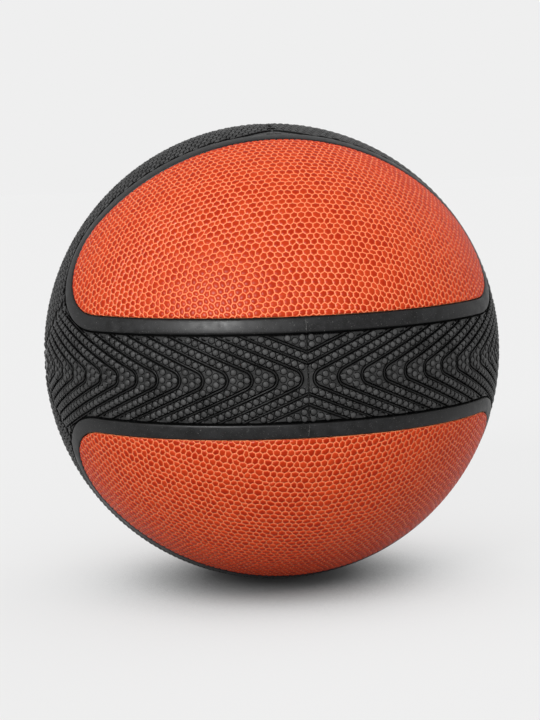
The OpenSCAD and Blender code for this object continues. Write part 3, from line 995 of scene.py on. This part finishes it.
def seam_triangle(belt):
    """Closed triangle left between the parting line, the border and the first chevron's arm.

    It starts where that arm meets the parting line."""
    outer = outer_side(SEAM_TRIANGLE[belt])
    steps, mixes = len(RIB_SHOULDERS), len(TRIANGLE_MIXES)
    columns = [outer[-1]] * mixes + outer[::-1]
    longitude = np.stack([chevron_longitude(HEIGHTS, *side) for side in columns])
    mixed = longitude * np.array(TRIANGLE_MIXES + [1] * steps)[:, None]
    room, _ = room_left(on_ball(HEIGHTS[None, :] + 0 * mixed, np.maximum(mixed, 0), belt), belt)
    low = crossings(longitude, first_true(longitude > 0))
    high = crossings(room, first_true((room < 0) & (longitude > 0)))
    height = low[:, None] + np.maximum(high - low, 0)[:, None] * np.linspace(0, 1, TRIANGLE_ROWS)
    place = np.stack([np.interp(row, HEIGHTS, np.maximum(column, 0)) for row, column in zip(height, mixed)])
    depth = np.array([RIB_TOP] * mixes + SHOULDER_DEPTHS[::-1])[:, None] + 0 * height
    depth[:, -1] = np.minimum(depth[:, -1] + END_DROP, RIB_FOOT)
    foot = on_ball(height[:1], place[:1], belt) * (CREST - RIB_FOOT)
    points = on_ball(height, place, belt) * (CREST - depth)[..., None]
    return loft(np.concatenate([foot, points]).transpose(1, 0, 2))


# %% Gather the ribs and strips of a quarter
ACROSS = {False: (1, 1, -1), True: (1, -1, 1)}


def mirrored_arms(shape, belt, arm_only):
    """A shape of one quarter, with its mirror image across the centre line if it is an arm."""
    return [shape, flipped(shape, ACROSS[belt])] if arm_only else [shape]


def grip_bodies(belt, make, chevrons, arm_limit):
    """All bodies of one kind on one quarter of the band or belt, from the seam to the pole.

    A chevron under arm_limit has no point, only an arm on either side of the centre line."""
    bodies = []
    for chevron in chevrons:
        for beyond in (False, True):
            shape = make(chevron, belt, beyond)
            if shape:
                bodies += mirrored_arms(shape, belt, beyond or chevron < arm_limit)
    return bodies


def quarter(belt):
    """Ribs, strips and seam triangles on the right half of the band's front or the top belt."""
    first = SEAM_TRIANGLE[belt]
    ribs = grip_bodies(belt, rib, range(first, LAST_CHEVRON), -1)
    ribs += mirrored_arms(seam_triangle(belt), belt, True)
    return {"ribs": ribs, "strips": grip_bodies(belt, strip, range(first, LAST_CHEVRON + 1), 0)}


quarters = {belt: quarter(belt) for belt in (False, True)}
for belt, kinds in quarters.items():
    print("belt" if belt else "band", {kind: len(bodies) for kind, bodies in kinds.items()})

# %% Copy the ribs and strips to both halves of the cover
HALVES = (("right", 1), ("left", -1))
RUNS = ((False, "band"), (True, "belt"))


def quarter_signs(side, belt):
    """Signs of a half's two quarters: the band's front and back, or the top and bottom belt."""
    return [(side, 1, 1), (side, 1, -1) if belt else (side, -1, 1)]


for half, side in HALVES:
    for belt, name in RUNS:
        for kind, bodies in quarters[belt].items():
            shape = joined([flipped(body, signs) for signs in quarter_signs(side, belt) for body in bodies])
            make_piece(
                f"{name}_{kind}_{half}", shape, grip_rubber, [f"grip_cover_{half}"],
                crease=35,
            )

# %% [markdown]
# The base sheet
#
# Under the ribs lies the cover itself. Its face is the floor of every channel. It is worked
# out for an eighth of the ball: a grid from the border's edge to the edges of that eighth,
# with the valve's hole where they meet. Mirrored four times and merged, it closes up.

# %% Stretch the sheet between the borders and the pole
FLOOR_DEPTH = 1.85
SHEET_EDGE = 8.05
SHEET_COLUMNS = 15
SHEET_SPACING = 2.5


def eighth_stations():
    """Stations of the outline from the parting line over a corner to the parting line again."""
    top = direction(90 - FAR_TILT, 0)
    arcs = [
        way_arc(POLE, 90 - EDGE_LAT, direction(0, 0), direction(0, CORNER_LON), SHEET_SPACING),
        way_arc(CORNER_AXIS, CORNER_ANGLE, TO_LONG_EDGE, TO_FAR_EDGE, SHEET_SPACING),
        way_arc(FAR_AXIS, FAR_ANGLE, FAR_START, top, SHEET_SPACING),
        (FAR_AXIS[None], np.array([FAR_ANGLE]), top[None]),
    ]
    return [np.concatenate(column) for column in zip(*arcs)], [len(part[0]) for part in arcs]


def sheet_ways(hole):
    """Grid of unit vectors from the border's edge to the edges of the eighth, each row a
    straight mix of its two ends, and where the rows along the hole begin and end.

    The far ends run along the band's centre line, round the hole and up the meridian."""
    station_rows, (along, around, over, _) = eighth_stations()
    start = outline(station_rows, SHEET_EDGE)[:, 0]
    lon = np.linspace(0, 90 - hole, along, endpoint=False)
    turn = np.radians(np.linspace(0, 90, around, endpoint=False))[:, None]
    rim = VALVE_AXIS * np.cos(np.radians(hole)) + np.sin(np.radians(hole)) * (
        np.cos(turn) * direction(0, 0) + np.sin(turn) * POLE
    )
    climb = np.radians(np.linspace(hole, 90, over + 1))[:, None]
    meridian = np.cos(climb) * VALVE_AXIS + np.sin(climb) * POLE
    end = np.concatenate([direction(0 * lon, lon), rim, meridian])
    share = np.linspace(0, 1, SHEET_COLUMNS)[None, :, None]
    return unit(start[:, None] * (1 - share) + end[:, None] * share), slice(along, along + around + 1)


def base_sheet(half):
    """Closed layer of one half of the cover. half is 1 for the right half, which has the hole."""
    hole = arc(NECK_R) if half > 0 else 0.0
    ways, edge = sheet_ways(hole)
    points = np.concatenate([ways * (CREST - FLOOR_DEPTH), ways * (CREST - COVER_UNDERSIDE)]).reshape(-1, 3)
    top = np.arange(ways.shape[0] * ways.shape[1]).reshape(ways.shape[:2])
    low = top + top.size
    quads = [
        np.stack([top[:-1, :-1], top[:-1, 1:], top[1:, 1:], top[1:, :-1]], -1),
        np.stack([low[:-1, :-1], low[1:, :-1], low[1:, 1:], low[:-1, 1:]], -1),
        np.stack([top[:-1, 0], top[1:, 0], low[1:, 0], low[:-1, 0]], -1),
        np.stack([top[0, 1:], top[0, :-1], low[0, :-1], low[0, 1:]], -1),
        np.stack([top[-1, :-1], top[-1, 1:], low[-1, 1:], low[-1, :-1]], -1),
    ]
    if hole:
        above, below = top[edge, -1], low[edge, -1]
        quads.append(np.stack([above[1:], above[:-1], below[:-1], below[1:]], -1))
    faces = triangles(np.concatenate([part.reshape(-1, 4) for part in quads]))
    eighth = outward(points, faces)
    return joined([flipped(eighth, (half, y, z)) for y in (1, -1) for z in (1, -1)])


# The sheet's near-black rubber is painted shade on the floor of every channel.
for half, side in HALVES:
    make_piece(f"grip_base_{half}", base_sheet(side), painted_shade_channel_rubber, [f"grip_cover_{half}"])

# %% [markdown]
# Round the poles
#
# Where the bands and belts cross, their chevrons close into stars. Inside the last star is a
# smooth island. On the right one the valve's rubber face sits in a hole with a rounded lip.

# %% Fill the last star
# Radius round the pole in mm, and depth below the crest
LIP = [(5.6, 0.94), (5.1, 1.0), (4.75, 1.2), (4.6, RIB_FOOT)]
CLOSED = [(0.0, RIB_TOP), (0.0, RIB_FOOT)]
ISLAND_MIXES = [0.12, 0.3, 0.5, 0.7, 0.88]
STAR_POINTS = 18
POINT_CROWDING = 1.4


def star_quarter(side):
    """Points of the last chevron's side over a quarter turn round the pole.

    They run from the band's centre line to the diagonal, and back mirrored along the belt."""
    longitude = chevron_longitude(HEIGHTS, LAST_CHEVRON, side)
    points = on_ball(HEIGHTS, longitude, False)
    crossing = refine(-points[:, 1] - points[:, 2], int((-points[:, 1] < points[:, 2]).argmax()))
    height = crossing * np.linspace(0, 1, STAR_POINTS) ** POINT_CROWDING
    band = on_ball(height, np.interp(height, HEIGHTS, longitude), False)
    return np.concatenate([band[:-1], as_belt(band)[::-1][:-1]])


def quarter_turns(points):
    """The same points four times, each a quarter turn further round the X axis."""
    turned = [points]
    for _ in range(3):
        turned.append(turned[-1][:, [0, 2, 1]] * [1, 1, -1])
    return np.concatenate(turned)


def pole_island(lip):
    """Closed island from the star's sides to a lip, each lip ring a radius in mm and a depth."""
    sides = [quarter_turns(star_quarter(-RIB_INNER - inset)) for inset, _ in RIB_SHOULDERS]
    inner = sides[-1]
    around = unit(inner * [0, 1, 1])
    rings = [(np.radians(arc(radius)), depth) for radius, depth in lip]
    mouths = [VALVE_AXIS * np.cos(wide) + around * np.sin(wide) for wide, _ in rings]
    sides += [unit(inner * (1 - mix) + mouths[0] * mix) for mix in ISLAND_MIXES]
    depths = SHOULDER_DEPTHS + [RIB_TOP] * len(ISLAND_MIXES) + [depth for _, depth in rings]
    return ring_loft(np.stack(sides + mouths, 1) * (CREST - np.array(depths))[None, :, None])


for (half, side), lip in zip(HALVES, (LIP, CLOSED)):
    make_piece(
        f"pole_island_{half}", flipped(pole_island(lip), (side, 1, 1)), grip_rubber,
        [f"grip_cover_{half}"], crease=35,
    )

# %% [markdown]
# Domes on the ribs
#
# What the hand feels on the ribs is a row of small domes, with slight three-cornered pads
# between them along both edges. A few dozen faces each are enough, because there are
# thousands. Their places come from the rib's own centre line, counted from its point.

# %% Find the places of the domes
DOME_STEP = 3.77
ROW_SIDE = -2.51
# Places in mm on a chevron's flat sheet: from its sharp point, and off its centre line
POINT_DOMES = [(9.43, 0.0), (12.47, 2.0), (15.77, 3.95)]
EXTRA_DOME = (16.2, 0.0)
ARM_START = 16.2
ARM_DOMES = 26
PAD_SIDE = 1.1
TRIANGLE_DOMES = np.array([(2.3, 3.6), (2.2, 6.9), (5.8, 5.5), (9.5, 6.7)])
DOME_ROOM = 0.9
SMALL_ROOM = 0.7
DIAGONAL_ROOM = 0.7
POLE_ROOM = 8.5
WAY_STEP = 0.1


def from_sheet(sheet, height, chevron, belt):
    """Unit vectors of places on a chevron's flat sheet, counted from its sharp point."""
    rise = np.sqrt(np.maximum(CREST ** 2 - sheet ** 2 - height ** 2, 1))
    longitude = FIRST_SHARP + chevron * CHEVRON_STEP + np.degrees(np.arctan2(sheet, rise))
    return on_ball(height, longitude, belt)


def arm_place(run, side, chevron, belt):
    """Unit vectors on an arm: run mm along it from the sharp point, side mm off its line."""
    flat = CREST * np.sin(run / CREST)
    sheet = flat * np.cos(CHEVRON_SLOPE) - side * np.sin(CHEVRON_SLOPE)
    height = flat * np.sin(CHEVRON_SLOPE) + side * np.cos(CHEVRON_SLOPE)
    return from_sheet(sheet, height, chevron, belt)


def arm_row(run, side, chevron, belt):
    """Places in a row on an arm, and the way that the arm runs at each of them."""
    centres = arm_place(run, side, chevron, belt)
    return centres, unit(arm_place(run + WAY_STEP, side, chevron, belt) - centres)


def with_room(centres, ways, belt, room):
    """The places that lie clear of the parting line, the border's margin and the diagonal.

    The diagonal needs more room, because the belt's own domes stand on its other side."""
    from_seam = np.arcsin(np.clip(centres[:, 0], -1, 1)) * CREST
    past_pole = angle_from(centres, VALVE_AXIS) / arc(1)
    left, at_margin = room_left(centres, belt)
    clear = left > np.where(at_margin, room, room + DIAGONAL_ROOM)
    keep = (from_seam > room) & clear & (past_pole > POLE_ROOM)
    return centres[keep], ways[keep]


def dome_places(chevron, belt):
    """Centres of the domes on a rib, and the way that the rib runs there."""
    centres, ways = arm_row(ARM_START + DOME_STEP * np.arange(1, ARM_DOMES), ROW_SIDE, chevron, belt)
    near = np.array(POINT_DOMES + [EXTRA_DOME] if chevron < LAST_CHEVRON else POINT_DOMES)
    points = from_sheet(near[:, 0], near[:, 1], chevron, belt)
    aside = unit(from_sheet(near[:, 0] + WAY_STEP, near[:, 1], chevron, belt) - points)
    return with_room(np.concatenate([points, centres]), np.concatenate([aside, ways]), belt, DOME_ROOM)


def triangle_places(belt):
    """Domes of a seam triangle: distances from the parting line, and above the triangle's corner,
    which is where the first chevron's arm meets that line."""
    corner = -(FIRST_SHARP / arc(1) + SEAM_TRIANGLE[belt] * CHEVRON_PITCH) * np.tan(CHEVRON_SLOPE)
    height, aside = corner + TRIANGLE_DOMES[:, 1], arc(TRIANGLE_DOMES[:, 0])
    centres = on_ball(height, aside, belt)
    return with_room(centres, unit(on_ball(height, aside + WAY_STEP, belt) - centres), belt, SMALL_ROOM)


def pad_places(chevron, belt):
    """Centres of the pads between the domes of an arm, and the way along the rib there.

    On the rib's outer side the way is turned round, so that every pad points to its middle, and
    the belt, which is the band's mirror image, turns both."""
    run = ARM_START + DOME_STEP * (np.arange(0, ARM_DOMES - 1) + 0.5)
    turn = -1 if belt else 1
    near, near_ways = arm_row(run, ROW_SIDE + PAD_SIDE, chevron, belt)
    far, far_ways = arm_row(run, ROW_SIDE - PAD_SIDE, chevron, belt)
    ways = np.concatenate([near_ways * turn, far_ways * -turn])
    return with_room(np.concatenate([near, far]), ways, belt, SMALL_ROOM)


# %% [markdown]
# One dome and one pad are shaped once, in their own small frames, and stamped wherever a place
# was found. Geometry nodes could scatter them too, but a plain array of copies is quick, and
# it gives one closed mesh for each half.

# %% Shape a dome and a pad
DOME_R = 1.85
DOME_SIDES = 10
# Share of the dome's radius, and depth below the crest in mm
DOME_RINGS = [(1.0, 0.95), (0.79, 0.62), (0.53, 0.3)]
DOME_TOP = 0.06
PAD_LENGTH = 2.0
PAD_WIDTH = 0.95
PAD_TOP_SHARE = 0.72
PAD_DEPTHS = (1.0, 0.34)


def dome_shape():
    """Dome of three rings and a crown; depths are down from the crest sphere."""
    n, last = DOME_SIDES, len(DOME_RINGS) - 1
    ring = np.arange(n)
    after = (ring + 1) % n
    turn = ring * 2 * np.pi / n
    rings = [
        np.stack([share * DOME_R * np.cos(turn), share * DOME_R * np.sin(turn), 0 * turn - depth], -1)
        for share, depth in DOME_RINGS
    ]
    points = np.concatenate(rings + [[[0, 0, -DOME_TOP], [0, 0, -DOME_RINGS[0][1]]]])
    bands = [
        triangles(np.stack([ring, after, after + n, ring + n], -1) + n * k)
        for k in range(last)
    ]
    crown = np.stack([ring + last * n, after + last * n, np.full(n, len(rings) * n)], -1)
    foot = np.stack([after, ring, np.full(n, len(rings) * n + 1)], -1)
    return outward(points, np.concatenate(bands + [crown, foot]))


def pad_shape():
    """Three-cornered pad with its long side at the rib's edge and a smaller top."""
    long, wide = PAD_LENGTH / 2, PAD_WIDTH / 2
    corners = np.array([[-long, wide], [0, -wide], [long, wide]])
    middle = corners.mean(0)
    low = np.c_[corners, np.full(3, -PAD_DEPTHS[0])]
    high = np.c_[middle + (corners - middle) * PAD_TOP_SHARE, np.full(3, -PAD_DEPTHS[1])]
    sides = triangles(np.array([[0, 1, 4, 3], [1, 2, 5, 4], [2, 0, 3, 5]]))
    return outward(np.concatenate([low, high]), np.concatenate([sides, [[3, 4, 5]], [[2, 1, 0]]]))


# %% Stamp the domes and pads
def stamped(shape, centres, ways):
    """A small shape copied to many places: its own axes are the way, across it, and outwards."""
    points, faces = shape
    across = np.cross(centres, ways)
    placed = (
        centres[:, None] * (CREST + points[None, :, 2:])
        + ways[:, None] * points[None, :, :1]
        + across[:, None] * points[None, :, 1:2]
    )
    copies = faces[None] + len(points) * np.arange(len(centres))[:, None, None]
    return placed.reshape(-1, 3), copies.reshape(-1, 3)


def rib_trim(belt):
    """Domes and pads on a quarter: those off the centre line are mirrored across it too."""
    shapes = []
    dome, pad = dome_shape(), pad_shape()
    rows = [(dome, triangle_places(belt))]
    for chevron in range(SEAM_TRIANGLE[belt], LAST_CHEVRON + 1):
        rows += [(dome, dome_places(chevron, belt)), (pad, pad_places(chevron, belt))]
    for shape, (centres, ways) in rows:
        middle = np.abs(centres[:, 1 if belt else 2]) < 1e-6
        if middle.any():
            shapes.append(stamped(shape, centres[middle], ways[middle]))
        if (~middle).any():
            arm = stamped(shape, centres[~middle], ways[~middle])
            shapes += [arm, flipped(arm, ACROSS[belt])]
    return joined(shapes)


for belt, name in RUNS:
    trim = rib_trim(belt)
    for half, side in HALVES:
        shape = joined([flipped(trim, signs) for signs in quarter_signs(side, belt)])
        make_piece(
            f"{name}_domes_{half}", shape, grip_rubber, [f"grip_cover_{half}"], crease=60
        )

# %% [markdown]
# The parting line
#
# The cover's two halves meet on one plane. A thin fin of rubber is left there by the mould. It
# runs over the bands, the belts and the borders, and stops at the panels.

# %% Run the fin along the parting plane
FIN_HALF = 0.2
# Share of the half width, and millimetres below the fin's top
FIN_SECTION = [(-1.6, 1.5), (-1.0, 0.12), (-0.4, 0.0), (0.4, 0.0), (1.0, 0.12), (1.6, 1.5)]
# Millimetres outside the panel's outline, and of the fin's top below the crest
FIN_PLACES = [0.4, 0.8, 1.6, 4.0, 6.6, 7.5, 7.95, 8.9, 9.4, 11.0]
FIN_DEPTHS = [1.2, 0.4, 0.1, 0.04, 0.1, 0.4, 1.5, 1.5, 0.95, 0.9]
FIN_FOOT = COVER_UNDERSIDE - 0.1
FIN_END = arc(PANEL_GAP + 0.05)
FIN_STATIONS = 160
FRONT = np.array([0.0, -1.0, 0.0])


def parting_fin(centre, half_width, axis):
    """Closed fin along the parting plane, half_width degrees to both sides of a direction.

    axis is the way that it runs. Its top follows the border's crown, dips into the margin and
    then follows the tops of the ribs."""
    turn = np.radians(np.linspace(-half_width, half_width, FIN_STATIONS))[:, None]
    ways = centre * np.cos(turn) + axis * np.sin(turn)
    depth = np.interp(edge_distance(np.abs(ways) * [1, -1, 1]), FIN_PLACES, FIN_DEPTHS)
    columns = [
        ways * (CREST - np.minimum(depth + below, FIN_FOOT))[:, None] + np.array([x * FIN_HALF, 0, 0])
        for x, below in FIN_SECTION
    ]
    return loft(np.stack(columns, 1))


def fins():
    """The four fins: over the band's front and back, and over the top and bottom belts."""
    band = EDGE_LAT - FIN_END
    belt = 90 - FAR_ANGLE + FAR_TILT - FIN_END
    return [
        parting_fin(FRONT, band, POLE), parting_fin(-FRONT, band, POLE),
        parting_fin(POLE, belt, FRONT), parting_fin(-POLE, belt, FRONT),
    ]


make_piece(
    "parting_fin", joined(fins()), grip_rubber, ["grip_cover_left", "grip_cover_right"]
)

# %% [markdown]
# Camera, light and floor
#
# The ball stands alone on a pale floor. A soft box in front, above and to the left lights it.
# A second lamp from the same side makes nothing but sheen, because the ball shows one clear
# sheen there. Two fills without gloss and an even room light do the rest. What the camera sees
# of floor and world is one pale grey, while the light that the floor gives back to the ball is
# kept low.

# %% Camera
PHOTO_W, PHOTO_H = 540, 720
FOCAL_PX = 2039
SENSOR_MM = 36
BALL_PX = (271.6, 351.0)
# Metres from the ball's centre, then degrees round it, above it and rolled
CAMERA_FAR = 1.089
CAMERA_AZIMUTH, CAMERA_UP, CAMERA_ROLL = -8.2, 6.6, -1.8


def set_camera():
    """Camera that sees the ball's centre at its place in the photograph's frame."""
    to_camera = Vector(direction(CAMERA_UP, CAMERA_AZIMUTH))
    camera = bpy.data.objects.new("camera", bpy.data.cameras.new("camera"))
    bpy.context.scene.collection.objects.link(camera)
    camera.data.sensor_fit = "VERTICAL"
    camera.data.sensor_height = SENSOR_MM
    camera.data.lens = FOCAL_PX * SENSOR_MM / PHOTO_H
    turn = to_camera.to_track_quat("Z", "Y").to_matrix().to_4x4()
    roll = Matrix.Rotation(np.radians(CAMERA_ROLL), 4, "Z")
    aside = np.arctan((BALL_PX[0] - PHOTO_W / 2) / FOCAL_PX)
    above = np.arctan((PHOTO_H / 2 - BALL_PX[1]) / FOCAL_PX)
    aim = Matrix.Rotation(aside, 4, "Y") @ Matrix.Rotation(-above, 4, "X")
    camera.matrix_world = Matrix.Translation(to_camera * CAMERA_FAR) @ turn @ roll @ aim
    bpy.context.scene.camera = camera


set_camera()
print(f"camera at {CAMERA_FAR} m, lens {bpy.context.scene.camera.data.lens:.0f} mm")

# %% Floor and world
PALE = "#efefef"
PAPER = "#f8f8f8"
FLOOR_RETURN = "#888888"
PLAIN_SHARE = 0.12
FLOOR_HALF_W = 6.0
ROOM_LIGHT = 0.47
# Share of the room that a point of the floor sees, and its grey
FLOOR_SHADOW = [
    (0.0, "#101010"), (0.14, "#383838"), (0.29, "#949494"), (0.44, "#cecece"), (0.56, "#e2e2e2"),
    (0.7, "#ececec"), (0.85, "#f0f0f0"), (1.0, "#f1f1f1"),
]


def seen_and_lit(tree, seen, lit):
    """Shader that is one thing to the camera, to gloss and to glass, and another to the rest."""
    path = add_node(tree, "ShaderNodeLightPath").outputs
    larger = {"operation": "MAXIMUM"}
    glossy = add_node(tree, MATH, larger, i0=path["Is Camera Ray"], i1=path["Is Glossy Ray"]).outputs[0]
    clear = add_node(tree, MATH, larger, i0=glossy, i1=path["Is Transmission Ray"]).outputs[0]
    return add_node(tree, "ShaderNodeMixShader", i0=clear, i1=lit, i2=seen).outputs[0]


def make_floor():
    """Floor under the ball: pale where it is seen, with the ball's shadow gathered close to it.

    An eighth of what is seen is plain lit paper. The rest is the backdrop's own pale grey, which
    falls off to the shadow by how much of the room the ball hides from that point."""
    material, tree, shader = new_material("pale_studio_floor")
    shader.inputs["Base Color"].default_value = linear(PAPER)
    shader.inputs["Roughness"].default_value = 1.0
    shader.inputs["Specular IOR Level"].default_value = 0.0
    open_sky = add_node(tree, "ShaderNodeAmbientOcclusion", {"samples": 16}, Distance=1.0).outputs["AO"]
    fall = add_node(tree, RAMP, {"stops": FLOOR_SHADOW}, i0=open_sky).outputs[0]
    glow = add_node(tree, "ShaderNodeEmission", Color=fall, Strength=1.0).outputs[0]
    seen = add_node(tree, "ShaderNodeMixShader", i0=PLAIN_SHARE, i1=glow, i2=shader.outputs[0]).outputs[0]
    lit = add_node(tree, "ShaderNodeBsdfDiffuse", Color=linear(FLOOR_RETURN)).outputs[0]
    tree.links.new(seen_and_lit(tree, seen, lit), tree.nodes["Material Output"].inputs["Surface"])
    mesh = bpy.data.meshes.new("floor")
    wide = FLOOR_HALF_W
    corners = [(x, y, -CREST * MM) for x, y in ((-wide, -wide), (wide, -wide), (wide, wide), (-wide, wide))]
    mesh.from_pydata(corners, [], [(0, 1, 2, 3)])
    floor = bpy.data.objects.new("floor", mesh)
    bpy.context.scene.collection.objects.link(floor)
    mesh.materials.append(material)


def make_world():
    """World that the camera sees as the floor's pale grey and that lights the room evenly."""
    world = bpy.data.worlds.new("studio")
    bpy.context.scene.world = world
    world.use_nodes = True
    tree = world.node_tree
    lit = tree.nodes["Background"]
    lit.inputs["Color"].default_value = (1, 1, 1, 1)
    lit.inputs["Strength"].default_value = ROOM_LIGHT
    seen = add_node(tree, "ShaderNodeBackground", Color=linear(PALE), Strength=1.0).outputs[0]
    tree.links.new(seen_and_lit(tree, seen, lit.outputs[0]), tree.nodes["World Output"].inputs["Surface"])


make_floor()
make_world()


# %% Lamps
def add_sun(name, azimuth, elevation, strength, spread, fills=True, shines=True):
    """Lamp that shines from a direction, with an angle as wide as a soft box has.

    A lamp that doesn't shine makes no highlight. One that doesn't fill makes nothing else."""
    lamp = bpy.data.lights.new(name, "SUN")
    lamp.energy = strength
    lamp.angle = np.radians(spread)
    sun = bpy.data.objects.new(name, lamp)
    sun.matrix_world = Vector(direction(elevation, azimuth)).to_track_quat("Z", "Y").to_matrix().to_4x4()
    sun.visible_diffuse = fills
    sun.visible_glossy = shines
    bpy.context.scene.collection.objects.link(sun)


add_sun("left_soft_box", -36, 25, 1.5, 14)
add_sun("soft_box_sheen", -38, 23, 3.6, 18, fills=False)
add_sun("front_fill", 8, 12, 0.9, 40, shines=False)
add_sun("back_fill", 125, 20, 0.9, 40, shines=False)
bpy.context.scene.view_settings.view_transform = "Standard"
print(len(bpy.data.lights), "lamps")

# %% [markdown]
# Finish
#
# The hidden layers get their own rubbers and cloth.

# %% Dress the nodes that keep their own shape
INSIDE = {
    "bladder": bladder_rubber,
    "carcass": carcass_rubber,
    "winding": winding_thread,
    "valve_housing": valve_rubber,
    "valve_plug": plug_rubber,
}
INSIDE.update({f"backing_{place}": backing_cloth for place in PLACES})
for node, material in INSIDE.items():
    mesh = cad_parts[node].data
    mesh.materials.clear()
    mesh.materials.append(material)
